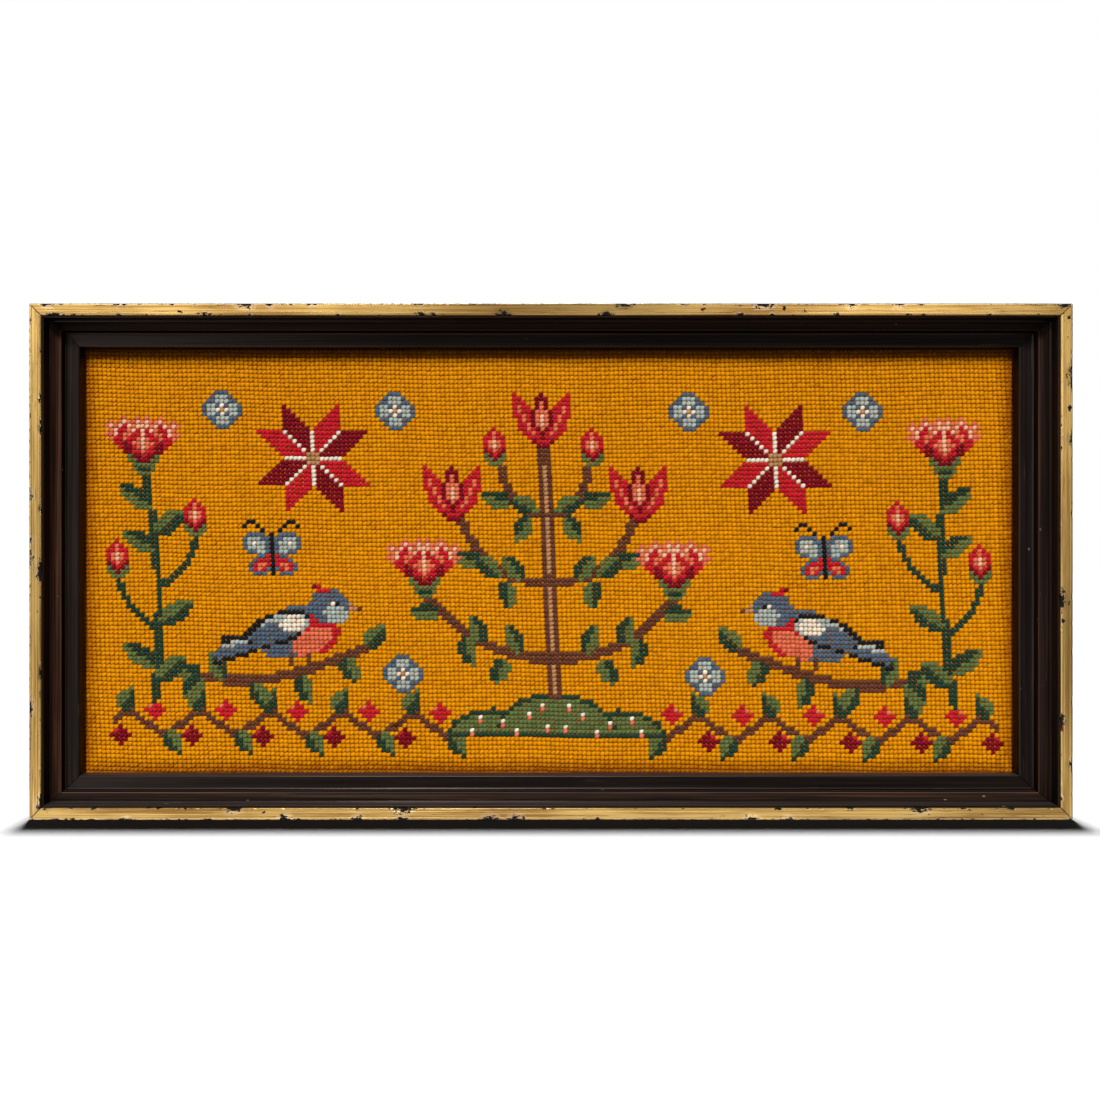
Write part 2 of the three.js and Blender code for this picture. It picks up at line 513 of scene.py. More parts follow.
@dataclass(frozen=True)
class BoardFinish:
    """Pressed brown fibre board."""

    pale: Colour = screen(156, 122, 84)
    dark: Colour = screen(116, 84, 54)
    fibre_scale: float = 420
    fibre_share: float = 0.7
    stain_scale: float = 7
    tone_marks: Pair = (0.36, 0.64)
    fibre_marks: Pair = (0.3, 0.7)
    rough: Pair = (0.75, 0.9)
    fibre_rise: float = 0.15 * MM
    fibre_strength: float = 0.6

    def material(self, name: str) -> bpy.types.Material:
        """Makes the finish under a name."""
        sketch = NodeSketch.of_material(name)
        fibres = sketch.noise(sketch.places(), self.fibre_scale, 6, 0.65)
        stains = sketch.noise(sketch.places(), self.stain_scale, 4)
        mottled = sketch.plus(
            sketch.times(fibres, self.fibre_share), sketch.times(stains, 1 - self.fibre_share)
        )
        sketch.dress(
            base_color=sketch.blend(sketch.step(mottled, self.tone_marks), self.dark, self.pale),
            roughness=sketch.step(fibres, self.fibre_marks, self.rough),
            normal=sketch.bump(fibres, self.fibre_rise, self.fibre_strength),
        )
        return sketch.material


@dataclass(frozen=True)
class FloorFinish:
    """Plain studio floor, dim enough that only its own bright light makes it white."""

    paint: Colour = (0.03, 0.03, 0.03)

    def material(self, name: str) -> bpy.types.Material:
        """Makes the finish under a name."""
        sketch = NodeSketch.of_material(name)
        sketch.dress(base_color=self.paint, roughness=1, specular_ior_level=0)
        return sketch.material


def piece(name: str, mesh: bpy.types.Mesh, material: bpy.types.Material) -> bpy.types.Object:
    """Puts a finished mesh in the scene as a piece of the picture.

    Args:
        name: the piece's name.
        mesh: its mesh, in place.
        material: its finish.

    Returns:
        The piece's object, riding on the picture.
    """
    mesh.materials.append(material)
    made = bpy.data.objects.new(name, mesh)
    bpy.context.scene.collection.objects.link(made)
    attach(made, BODY)
    mesh.calc_loop_triangles()
    log.info("%s: %d triangles", name, len(mesh.loop_triangles))
    return made


class SectionEdge(NamedTuple):
    """One edge of a bar's section: its place in from the outer side, up from the back, rounding and wear."""

    inset: float
    height: float
    rounding: float
    wear: float


class Side(Enum):
    """A side of the frame, with the turn about Y that brings the bottom bar there, in degrees."""

    BOTTOM = 0
    LEFT = 90
    TOP = 180
    RIGHT = 270

    @property
    def level(self) -> bool:
        """Whether the side lies along X."""
        return self in (Side.BOTTOM, Side.TOP)

    @property
    def run(self) -> Run:
        """The way its grain runs."""
        return Run.ALONG_X if self.level else Run.ALONG_Z


@dataclass
class MitredBar:
    """A bar of one section, mitred at both ends, as each side of the frame is."""

    edges: tuple[SectionEdge, ...]
    width: float
    height: float
    depth: float
    ring_every: float
    slit: float
    worn_band: Triple = (0, 0, 0)
    wear_reach: float = 0.7 * MM
    same: float = 0.01 * MM
    small_round_segments: int = 6
    large_round_segments: int = 14
    large_round: float = 1 * MM

    def build(self, side: Side, marks: str, shape: LastTouches) -> bmesh.types.BMesh:
        """Builds the bar for one side, in its place.

        Args:
            side: the side of the frame.
            marks: name of the attribute that holds the wear of its arrises.
            shape: last touches on the bar while it still lies along X, given its length and a seed.

        Returns:
            The finished bar.
        """
        length = self.width if side.level else self.height
        reach = (self.height if side.level else self.width) / 2
        bar = self.extruded(length)
        self.soften(bar)
        self.mitre(bar, length)
        self.ring(bar, length)
        self.mark_wear(bar, marks)
        shape(bar, length, side.value)
        turn = Matrix.Rotation(math.radians(side.value), 4, "Y")
        middle = Matrix.Translation((0, 0, self.height / 2))
        bmesh.ops.transform(bar, matrix=middle @ turn @ Matrix.Translation((0, 0, -reach)), verts=bar.verts)
        return bar

    def extruded(self, length: float) -> bmesh.types.BMesh:
        """Draws the section out along X."""
        bar = bmesh.new()
        corners = [bar.verts.new((-length / 2, self.depth / 2 - e.height, e.inset)) for e in self.edges]
        section = bar.faces.new(corners)
        drawn = bmesh.ops.extrude_face_region(bar, geom=[section])
        far = [item for item in drawn["geom"] if isinstance(item, bmesh.types.BMVert)]
        bmesh.ops.translate(bar, verts=far, vec=(length, 0, 0))
        bmesh.ops.recalc_face_normals(bar, faces=bar.faces)
        return bar

    def soften(self, bar: bmesh.types.BMesh) -> None:
        """Rounds each long edge of the bar by its own rounding."""
        for rounding in sorted({e.rounding for e in self.edges if e.rounding > 0}):
            corners = [e for e in self.edges if e.rounding == rounding]
            found = [edge for edge in bar.edges if any(self.runs_on(edge, corner) for corner in corners)]
            large = rounding > self.large_round
            bmesh.ops.bevel(
                bar,
                geom=found,
                offset=rounding,
                offset_type="OFFSET",
                affect="EDGES",
                segments=self.large_round_segments if large else self.small_round_segments,
                profile=0.5,
                material=-1,
                clamp_overlap=True,
            )

    def runs_on(self, edge: bmesh.types.BMEdge, corner: SectionEdge) -> bool:
        """Whether an edge runs along a corner of the section."""
        place = Vector((0, self.depth / 2 - corner.height, corner.inset))
        return all((Vector((0, v.co.y, v.co.z)) - place).length < self.same for v in edge.verts)

    def mitre(self, bar: bmesh.types.BMesh, length: float) -> None:
        """Cuts both ends at 45 degrees, with half of the slit taken off each."""
        for end in (-1, 1):
            bmesh.ops.bisect_plane(
                bar,
                geom=[*bar.verts, *bar.edges, *bar.faces],
                dist=self.same / 10,
                plane_co=(end * (length / 2 - self.slit / math.sqrt(2)), 0, 0),
                plane_no=(end, 0, 1),
                clear_outer=True,
            )
            rim = [edge for edge in bar.edges if edge.is_boundary]
            closed = bmesh.ops.holes_fill(bar, edges=rim, sides=0)
            bmesh.ops.triangulate(bar, faces=closed["faces"])

    def ring(self, bar: bmesh.types.BMesh, length: float) -> None:
        """Cuts rings across the bar, so that it can take small dents."""
        long_edges = [e for e in bar.edges if e.calc_length() > length / 2]
        cuts = round(length / self.ring_every)
        bmesh.ops.subdivide_edges(bar, edges=long_edges, cuts=cuts, use_grid_fill=True)

    def mark_wear(self, bar: bmesh.types.BMesh, marks: str) -> None:
        """Marks how worn each point is, from how near it lies to a worn arris."""
        layer = bar.verts.layers.float.new(marks)
        worn = [e for e in self.edges if e.wear > 0]
        first, last, band = self.worn_band
        for vert in bar.verts:
            inset, height = vert.co.z, self.depth / 2 - vert.co.y
            away = ((e.wear, math.hypot(inset - e.inset, height - e.height)) for e in worn)
            near = (wear * (1 - far / self.wear_reach) for wear, far in away)
            vert[layer] = max(0.0, *near, band if first < inset < last else 0.0)


def finished_mesh(name: str, built: bmesh.types.BMesh) -> bpy.types.Mesh:
    """Turns a built shape into a mesh.

    Args:
        name: the mesh's name.
        built: the shape, which is freed.

    Returns:
        The mesh.
    """
    mesh = bpy.data.meshes.new(name)
    built.to_mesh(mesh)
    built.free()
    return mesh


def stepped(rows: Iterable[tuple[float, float, float, float]]) -> tuple[SectionEdge, ...]:
    """Turns rows of inset, height, rounding and wear, in millimetres, into a section in metres."""
    return tuple(SectionEdge(a * MM, b * MM, r * MM, wear) for a, b, r, wear in rows)


@dataclass
class Frame:
    """The wooden frame: four dark stepped rails, each with a gilt strip along its outer edge."""

    width: float
    height: float
    depth: float
    wood: DarkWoodFinish = DarkWoodFinish()
    gilt: GiltFinish = GiltFinish()
    # Inset, height, rounding and wear of each edge, going round from the back outer corner
    rail_edges: tuple[SectionEdge, ...] = stepped((
        (0, 0, 0.6, 0.4), (0, 27.7, 0, 0), (6.8, 27.7, 0, 0), (6.8, 28.8, 0.2, 0),
        (7.4, 28.8, 0.3, 0.2), (7.7, 23.2, 0.2, 0), (8.4, 23.1, 0.25, 0.3), (8.7, 19.9, 2.6, 0),
        (11.9, 19, 0.45, 1.4), (12.2, 15.2, 0.15, 0), (12.4, 16.1, 0.4, 0.3), (13.3, 16.1, 0.4, 0.3),
        (13.5, 15.5, 0.2, 0), (20.3, 15, 0.8, 0.1), (20.8, 10, 0.2, 0), (14.6, 10, 0, 0),
        (14.6, 0, 0.3, 0.3),
    ))
    gilt_edges: tuple[SectionEdge, ...] = stepped((
        (0, 27.8, 0, 0), (0, 30, 0.5, 0.62), (1.3, 30, 0, 0), (1.45, 29.9, 0, 0), (1.6, 30, 0, 0),
        (4.5, 30, 0, 0), (4.65, 29.9, 0, 0), (4.8, 30, 0, 0), (6.4, 30, 0.9, 0.25), (6.4, 27.8, 0, 0),
    ))
    worn_tread: Pair = (8.3 * MM, 12.1 * MM)
    # Wear of the tread on each side, in the order of the sides; it differs by side as painted shade and light,
    # least on the top rail in the shadow of its lip and most on the left one
    tread_wear_and_side_shade: tuple[float, ...] = (0.8, 0.88, 0.64, 0.8)
    rail_slit: float = 0.3 * MM
    gilt_slit: float = 0.45 * MM
    rail_ring: float = 12 * MM
    gilt_ring: float = 0.8 * MM
    waver: float = 0.05 * MM
    waver_inward: float = 0.6
    waves_out: int = 5
    waves_inward: int = 7
    drift_out: float = 90
    drift_inward: float = 120
    chips_per_metre: float = 100
    chip_length: Pair = (1.3 * MM, 9 * MM)
    chip_reach: Pair = (0.9 * MM, 3.2 * MM)
    chip_depth: float = 0.25 * MM
    chip_edge: float = 1.1
    outer_chips: float = 0.55
    same: float = 0.01 * MM

    def build(self) -> list[bpy.types.Object]:
        """Builds and dresses the four rails and the four gilt strips.

        Returns:
            The gilt strips.
        """
        woods = {run: self.wood.material(f"dark_wood_{run.name.lower()}", run) for run in Run}
        golds = {run: self.gilt.material(f"gilt_leaf_{run.name.lower()}", run) for run in Run}
        size = (self.width, self.height, self.depth)
        strip = MitredBar(self.gilt_edges, *size, self.gilt_ring, self.gilt_slit)
        strips = []
        for side, wear in zip(Side, self.tread_wear_and_side_shade):
            where = side.name.lower()
            band = (*self.worn_tread, wear)
            rail = MitredBar(self.rail_edges, *size, self.rail_ring, self.rail_slit, band)
            moulding = finished_mesh(f"moulding_{where}", rail.build(side, "wear", self.waver_rail))
            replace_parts(piece(f"moulding_{where}", moulding, woods[side.run]), f"rail_{where}")
            gilding = finished_mesh(f"gilding_{where}", strip.build(side, "bare", self.chip_gilt))
            strips.append(piece(f"gilding_{where}", gilding, golds[side.run]))
            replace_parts(strips[-1], f"gilt_{where}")
        return strips

    def waver_rail(self, bar: bmesh.types.BMesh, length: float, seed: int) -> None:
        """Lets the steps of a rail waver a little along its length, but not its back and its outer side."""
        chance = np.random.default_rng(seed + 1)
        turns = chance.uniform(0, 2 * math.pi, 3)
        for vert in bar.verts:
            inset, height = vert.co.z, self.depth / 2 - vert.co.y
            if inset < MM or height < MM or abs(vert.co.x) > length / 2 - 2 * inset:
                continue
            along = 2 * math.pi * vert.co.x / length
            out = math.sin(self.waves_out * along + turns[0] + self.drift_out * inset)
            inward = math.sin(self.waves_inward * along + turns[1] + self.drift_inward * height)
            vert.co.y += self.waver * out
            vert.co.z += self.waver * inward * self.waver_inward

    def chip_gilt(self, bar: bmesh.types.BMesh, length: float, seed: int) -> None:
        """Chips the two arrises of a gilt strip, and marks the chips and its outer side as bare."""
        chance = np.random.default_rng(seed + 11)
        layer = bar.verts.layers.float["bare"]
        count = round(length * self.chips_per_metre)
        size = chance.random(count) ** 3
        halves = self.chip_length[0] + size * (self.chip_length[1] - self.chip_length[0])
        reaches = self.chip_reach[0] + size * (self.chip_reach[1] - self.chip_reach[0])
        middles = chance.uniform(-length / 2, length / 2, count)
        outer = chance.random(count) < self.outer_chips
        places = np.array([v.co for v in bar.verts])
        insets, heights = places[:, 2], self.depth / 2 - places[:, 1]
        for arris, here in zip((e for e in self.gilt_edges if e.wear > 0), (outer, ~outer)):
            away = np.hypot(insets - arris.inset, heights - arris.height)[:, None]
            along = np.abs(places[:, 0, None] - middles[here])
            far = np.hypot(along / halves[here], away / reaches[here])
            share = np.clip(1 - far, 0, 1).max(axis=1)
            for vert, part in zip(bar.verts, share.tolist()):
                vert[layer] = max(vert[layer], min(1.0, self.chip_edge * part))
                vert.co.y += part * self.chip_depth
        for vert, inset, height in zip(bar.verts, insets, heights):
            if inset < self.same and height < self.depth - self.same:
                vert[layer] = 1.0


class Wool(Enum):
    """The dyed wools of the picture, each with its letter in the charts."""

    MUSTARD = "."
    RED = "R"
    CRIMSON = "D"
    SALMON = "S"
    PEACH = "P"
    CREAM = "C"
    SLATE = "B"
    MIST = "L"
    INK = "N"
    MOSS = "G"
    PINE = "E"
    BROWN = "W"
    TAN = "T"


DYES: dict[Wool, Colour] = {
    Wool.MUSTARD: screen(226, 147, 2),
    Wool.RED: screen(204, 30, 46),
    Wool.CRIMSON: screen(132, 14, 34),
    Wool.SALMON: screen(232, 116, 84),
    Wool.PEACH: screen(243, 186, 150),
    Wool.CREAM: screen(240, 226, 204),
    Wool.SLATE: screen(84, 104, 122),
    Wool.MIST: screen(172, 184, 176),
    Wool.INK: screen(26, 32, 36),
    Wool.MOSS: screen(98, 116, 66),
    Wool.PINE: screen(36, 66, 50),
    Wool.BROWN: screen(106, 62, 46),
    Wool.TAN: screen(188, 138, 94),
}

TULIP = """
R.....D.....R
RR...DDD...RR
RRR..DSD..RRR
RSRR.DSD.RRSR
RSRRDSSSDRRSR
RRSRDSPSDRSRR
.RSRDSPSDRSR.
.RRSDSPSDSRR.
.RRSRDSDRSRR.
..RRSRDRSRR..
...RRRDRRR...
....DRRRD....
.....DDD.....
"""
CARNATION = """
....S..S.S..S....
.S.SPSSPSPSSPS.S.
SPSPRPSPPPSPRPSPS
.SPRRSPRPRPSRRPS.
SSPRSSRRPRRSSRPSS
.SRRSRRSPSRRSRRS.
..RRDRSSPSSRDRR..
...RDDRSPSRDDR...
....DDRRSRRDD....
.....GDDRDDG.....
.....GGDDDGG.....
......GGGGG......
......GEEEG......
.......GGG.......
"""
BUD = """
...R...
..RSR..
.RRSRR.
.RSPSR.
.RSPSR.
.DRSRD.
.GDRDG.
.GGDGG.
..GGG..
"""
BLUE_FLOWER = """
...BBB...
..BLLLB..
.BBLLLBB.
BLLBCBLLB
BLLCTCLLB
BLLBCBLLB
.BBLLLBB.
..BLLLB..
...BBB...
"""
BUTTERFLY = """
.NN.......NN.
N..N.....N..N
....N...N....
.BBBB.N.BBBB.
BLLLBBNBBLLLB
BLCLLBNBLLCLB
BLLLLBNBLLLLB
.BBLLBNBLLBB.
...BBRNRBB...
..BRRRNRRRB..
.BRSSRNRSSRB.
.BRSRBNBRSRB.
..BBB.N.BBB..
"""
CREST = """
.DR..
..RRR
"""


WoolRule = Callable[[float, float], Union[Wool, None]]


@dataclass
class StitchChart:
    """A chart of stitches, counted in columns and rows from its middle, bare cells being ground."""

    cells: dict[tuple[int, int], Wool] = field(default_factory=dict)
    leaf_belly: float = 0.8
    leaf_point: float = 0.75
    leaf_slack: float = 0.2
    vein_shift: float = -0.1
    stem_steps: int = 90

    def stamp(self, chart: str, column: int, row: int) -> None:
        """Works a small chart with its middle on a cell."""
        lines = chart.strip("\n").split("\n")
        top = row + (len(lines) - 1) // 2
        left = column - (len(lines[0]) - 1) // 2
        for down, line in enumerate(lines):
            for across, letter in enumerate(line):
                if Wool(letter) is not Wool.MUSTARD:
                    self.cells[left + across, top - down] = Wool(letter)

    def fill(self, middle: Pair, reach: float, wool_at: WoolRule) -> None:
        """Works every cell round a middle that a rule gives a wool.

        Args:
            middle: column and row of the middle.
            reach: how far the shape goes from there.
            wool_at: the wool for a place counted from the middle, or None for ground.
        """
        columns = range(math.floor(middle[0] - reach), math.ceil(middle[0] + reach) + 1)
        rows = range(math.floor(middle[1] - reach), math.ceil(middle[1] + reach) + 1)
        for column in columns:
            for row in rows:
                wool = wool_at(column - middle[0], row - middle[1])
                if wool is not None:
                    self.cells[column, row] = wool

    def oval(self, middle: Pair, radii: Pair, turn: float, wool: Wool) -> None:
        """Works an oval, turned by degrees."""
        cos, sin = math.cos(math.radians(turn)), math.sin(math.radians(turn))

        def inside(x: float, y: float) -> Union[Wool, None]:
            """Gives the wool inside the oval."""
            along, across = (x * cos + y * sin) / radii[0], (y * cos - x * sin) / radii[1]
            return wool if along * along + across * across <= 1 else None

        self.fill(middle, max(radii), inside)

    def leaf(self, root: Pair, length: float, width: float, turn: float) -> None:
        """Works a pointed leaf from its root, light on one half and dark on the other."""
        cos, sin = math.cos(math.radians(turn)), math.sin(math.radians(turn))

        def inside(x: float, y: float) -> Union[Wool, None]:
            """Gives the wool of the leaf's upper or lower half."""
            along, across = (x * cos + y * sin) / length, y * cos - x * sin
            if not 0 < along < 1:
                return None
            half = width / 2 * math.sin(math.pi * along**self.leaf_belly) ** self.leaf_point
            if abs(across) > half + self.leaf_slack:
                return None
            return Wool.PINE if across < self.vein_shift else Wool.MOSS

        self.fill(root, length, inside)

    def stem(self, start: Pair, bend: Pair, end: Pair, width: float, wool: Wool) -> None:
        """Works a curved stem from start to end, drawn towards a bend."""
        for share in np.linspace(0, 1, self.stem_steps):
            weights = ((1 - share) ** 2, 2 * share * (1 - share), share**2)
            x = sum(w * spot[0] for w, spot in zip(weights, (start, bend, end)))
            y = sum(w * spot[1] for w, spot in zip(weights, (start, bend, end)))
            self.oval((x, y), (width / 2, width / 2), 0, wool)

    def star(self, middle: tuple[int, int], size: int) -> None:
        """Works an eight-pointed star of slanted petals in two reds, with cream rays."""

        def inside(x: float, y: float) -> Union[Wool, None]:
            """Gives the wool of a petal, a ray or the eye."""
            far, near = max(abs(x), abs(y)), min(abs(x), abs(y))
            if near > size or far > near + size:
                return None
            if far <= 1:
                return Wool.TAN
            if far == near or near == 0:
                return Wool.CREAM
            return Wool.RED if (abs(x) > abs(y)) ^ (x * y > 0) else Wool.CRIMSON

        self.fill(middle, 2 * size, inside)

    def mirror(self) -> None:
        """Makes the right half the left one's mirror image."""
        left = {spot: wool for spot, wool in self.cells.items() if spot[0] <= 0}
        self.cells = left | {(-column, row): wool for (column, row), wool in left.items()}


@dataclass
class FolkGarden:
    """The picture's design: a flowering tree on a hill, with birds, stars, tall flowers and a berry vine."""

    base: int = -38
    vine_wave: int = 16
    vine_rise: float = 2.4
    berry_radius: float = 2.1
    leaf_size: Pair = (7, 3.8)
    tall_leaf_size: Pair = (9, 4.2)
    vine_leaf_size: Pair = (6, 3.6)
    # Column, row and turn of each leaf
    tree_leaves: tuple[Triple, ...] = (
        (-7, -21, 115), (-11, -22, -110), (-16, -19, 105), (-20, -17.5, -75), (-25, -12, 175),
        (-6, -4, 125), (-10, -4, -80), (-15, 0, 165), (-16, 1, -40),
        (-4, 11, -120), (-8, 14, 165), (-8, 15, -30),
    )
    perch_leaves: tuple[Triple, ...] = (
        (-74, -28, 115), (-68, -28.5, -60), (-57, -26.5, -75), (-47, -22, -70), (-42, -20, 50),
        (-79, -27, 165), (-79, -27, -130),
    )
    tall_leaves: tuple[Triple, ...] = (
        (-89, -28, 40), (-89, -25, 145), (-88, -15, 35), (-88, 2, 150), (-88, 6, 40), (-88.5, 12, 145),
    )

    def chart(self) -> StitchChart:
        """Works the whole design."""
        chart = StitchChart()
        self.vine(chart)
        self.hills(chart)
        self.tree(chart)
        self.perch(chart)
        self.bird(chart, -58, -24)
        self.tall_flower(chart)
        chart.star((-52, 24), 6)
        chart.stamp(BUTTERFLY, -62, 3)
        for column, row in ((-33, 35), (-72, 35), (-34, -26)):
            chart.stamp(BLUE_FLOWER, column, row)
        chart.mirror()
        return chart

    def vine(self, chart: StitchChart) -> None:
        """Works the waving vine along the foot, with a leaf and a berry in each bend."""
        for column in range(-99, -18):
            wave = math.sin(2 * math.pi * (column + 4) / self.vine_wave)
            row = round(self.base + 0.5 + self.vine_rise * wave)
            chart.cells[column, row] = Wool.BROWN
            chart.cells[column, row - 1] = Wool.BROWN
        for wave in range(-6, -1):
            column = wave * self.vine_wave
            chart.leaf((column - 2, self.base + 3), *self.vine_leaf_size, 55)
            chart.leaf((column + 8, self.base - 2), *self.vine_leaf_size, -55)
            for across, up, wool, light in ((6, 3, Wool.RED, Wool.SALMON), (-2, -3, Wool.CRIMSON, Wool.RED)):
                berry = (column + across, self.base + up)
                chart.oval(berry, (self.berry_radius, self.berry_radius), 0, wool)
                chart.cells[berry[0] - 1, berry[1] + 1] = light

    def hills(self, chart: StitchChart) -> None:
        """Works the three low hills under the tree, with small flowers."""
        for middle, half, height in ((-14, 10, 6), (0, 13, 10)):
            for across in range(-half, half + 1):
                top = height * math.sqrt(max(0.0, 1 - (across / (half + 0.5)) ** 2))
                for up in range(int(top) + 1):
                    edge = up < 1 or up > top - 1.2
                    chart.cells[middle + across, self.base - 2 + up] = Wool.PINE if edge else Wool.MOSS
        for column, row in ((-17, -36), (-12, -37), (-6, -35), (-2, -38), (-9, -39), (-19, -39), (-3, -33)):
            chart.cells[column, row] = Wool.CREAM
            chart.cells[column, row - 1] = Wool.SALMON

    def tree(self, chart: StitchChart) -> None:
        """Works the tree with its three pairs of branches and the flowers at their ends."""
        chart.stem((0, -30), (0, -10), (0, 26), 3.2, Wool.BROWN)
        chart.stem((0, -30), (0, -10), (0, 22), 1.2, Wool.TAN)
        chart.stem((0, -22), (-16, -23), (-27, -9), 2.2, Wool.BROWN)
        chart.stem((0, -4), (-13, -6), (-19, 9), 2, Wool.BROWN)
        chart.stem((0, 11), (-8, 11), (-10, 23), 1.8, Wool.BROWN)
        for column, row, turn in self.tree_leaves:
            chart.leaf((column, row), *self.leaf_size, turn)
        chart.stamp(CARNATION, -28, -1)
        chart.stamp(TULIP, -21, 16)
        chart.stamp(BUD, -11, 27)
        chart.stamp(TULIP, 0, 33)

    def perch(self, chart: StitchChart) -> None:
        """Works the leafy branch that a bird stands on."""
        chart.stem((-80, -27), (-64, -31), (-40, -19), 2.2, Wool.BROWN)
        for column, row, turn in self.perch_leaves:
            chart.leaf((column, row), *self.leaf_size, turn)

    def bird(self, chart: StitchChart, column: int, row: int) -> None:
        """Works a blue bird with a red breast, its feet on a cell, looking to the right."""
        feathers = (Wool.INK, Wool.SLATE, Wool.SLATE, Wool.MIST, Wool.INK)
        for number, wool in enumerate(feathers):
            root = (column - 6, row + 5 + 0.7 * number)
            tip = (column - 18 + 0.6 * number, row + 0.2 + 1.35 * number)
            chart.stem(root, (column - 12, row + 2 + number), tip, 1.5, wool)
        # Place, size, turn and wool of each oval, from the body out to the face
        for across, up, long, high, turn, wool in (
            (0, 7.5, 9.2, 5.6, 22, Wool.SLATE), (5, 7, 5.4, 4.6, 40, Wool.RED),
            (4, 5.2, 5.2, 2.6, 30, Wool.SALMON), (8.2, 13.4, 4.3, 4.2, 0, Wool.SLATE),
            (9.6, 11.6, 2.7, 2.2, 0, Wool.MIST), (-3.6, 8.2, 7.6, 3.7, 18, Wool.INK),
            (-3, 8.4, 6.6, 2.9, 18, Wool.MIST), (-4.6, 7.2, 6, 2.2, 16, Wool.SLATE),
            (-0.4, 9.2, 2.8, 1.9, 25, Wool.CREAM),
        ):
            chart.oval((column + across, row + up), (long, high), turn, wool)
        # Single stitches of the beak, the eye and the legs
        for across, up, wool in (
            (13, 13, Wool.TAN), (13, 14, Wool.TAN), (14, 13, Wool.TAN), (15, 13, Wool.BROWN),
            (9, 14, Wool.CREAM), (10, 14, Wool.INK),
            (-1, 0, Wool.BROWN), (-1, 1, Wool.BROWN), (-1, 2, Wool.BROWN),
            (3, 0, Wool.BROWN), (3, 1, Wool.BROWN), (3, 2, Wool.BROWN),
        ):
            chart.cells[column + across, row + up] = wool
        chart.stamp(CREST, column + 6, row + 18)

    def tall_flower(self, chart: StitchChart) -> None:
        """Works the tall flower at the side, with two buds on side stems."""
        chart.stem((-90, -33), (-86, -8), (-90, 20), 1.9, Wool.PINE)
        chart.stem((-88, -16), (-95, -14), (-97, -4), 1.5, Wool.PINE)
        chart.stem((-88, -6), (-81, -4), (-79, 6), 1.5, Wool.PINE)
        for column, row, turn in self.tall_leaves:
            chart.leaf((column, row), *self.tall_leaf_size, turn)
        chart.stamp(CARNATION, -90, 27)
        chart.stamp(BUD, -97, 0)
        chart.stamp(BUD, -79, 10)


class CanvasWave(NamedTuple):
    """One wave of the canvas's low unevenness: rise, waves over the frame's width and height, and turn."""

    rise: float
    across: float
    up: float
    turn: float


@dataclass
class StitchBead:
    """The shape of one tent stitch: a closed spindle of wool that dips into a hole at each end."""

    sides: int = 6
    spans: int = 4
    half_width: float = 1.35 * MM
    half_height: float = 0.45 * MM
    dip: float = 0.42 * MM
    overlap: float = 0.98
    patch_margin: float = 0.06
    pole: float = 0.01

    def template(self) -> tuple[np.ndarray, np.ndarray, np.ndarray]:
        """Shapes the stitch once.

        Returns:
            Its points as across, up and along, its triangles, and each corner's place on its map patch.
        """
        ball = bmesh.new()
        upright = Matrix.Rotation(math.pi / self.sides, 4, "Z")
        sizes = {"u_segments": self.sides, "v_segments": self.spans, "radius": 1}
        bmesh.ops.create_uvsphere(ball, matrix=upright, **sizes)
        bmesh.ops.triangulate(ball, faces=ball.faces)
        ball.verts.index_update()
        points = np.array([v.co for v in ball.verts])
        faces = np.array([[v.index for v in f.verts] for f in ball.faces])
        ball.free()
        around = np.arctan2(points[:, 1], points[:, 0]) / (2 * math.pi) + 0.5
        radius = np.hypot(points[:, 0], points[:, 1])
        corner_around = around[faces]
        at_pole = radius[faces] < self.pole
        corner_around[at_pole] = np.nan
        span = np.nanmax(corner_around, axis=1) - np.nanmin(corner_around, axis=1)
        over_seam = (span > 0.5)[:, None] & (corner_around < 0.5)
        corner_around = corner_around + over_seam
        middle = np.nanmean(corner_around, axis=1)
        corner_around = np.where(np.isnan(corner_around), middle[:, None], corner_around)
        corner_around = corner_around / (1 + 1 / self.sides)
        corner_along = (points[:, 2][faces] + 1) / 2
        across = points[:, 0] * self.half_width
        up = points[:, 1] * self.half_height - self.dip * points[:, 2] ** 2
        shaped = np.stack([across, up, points[:, 2] * self.overlap], axis=1)
        return shaped, faces, np.stack([corner_along, corner_around], axis=2)


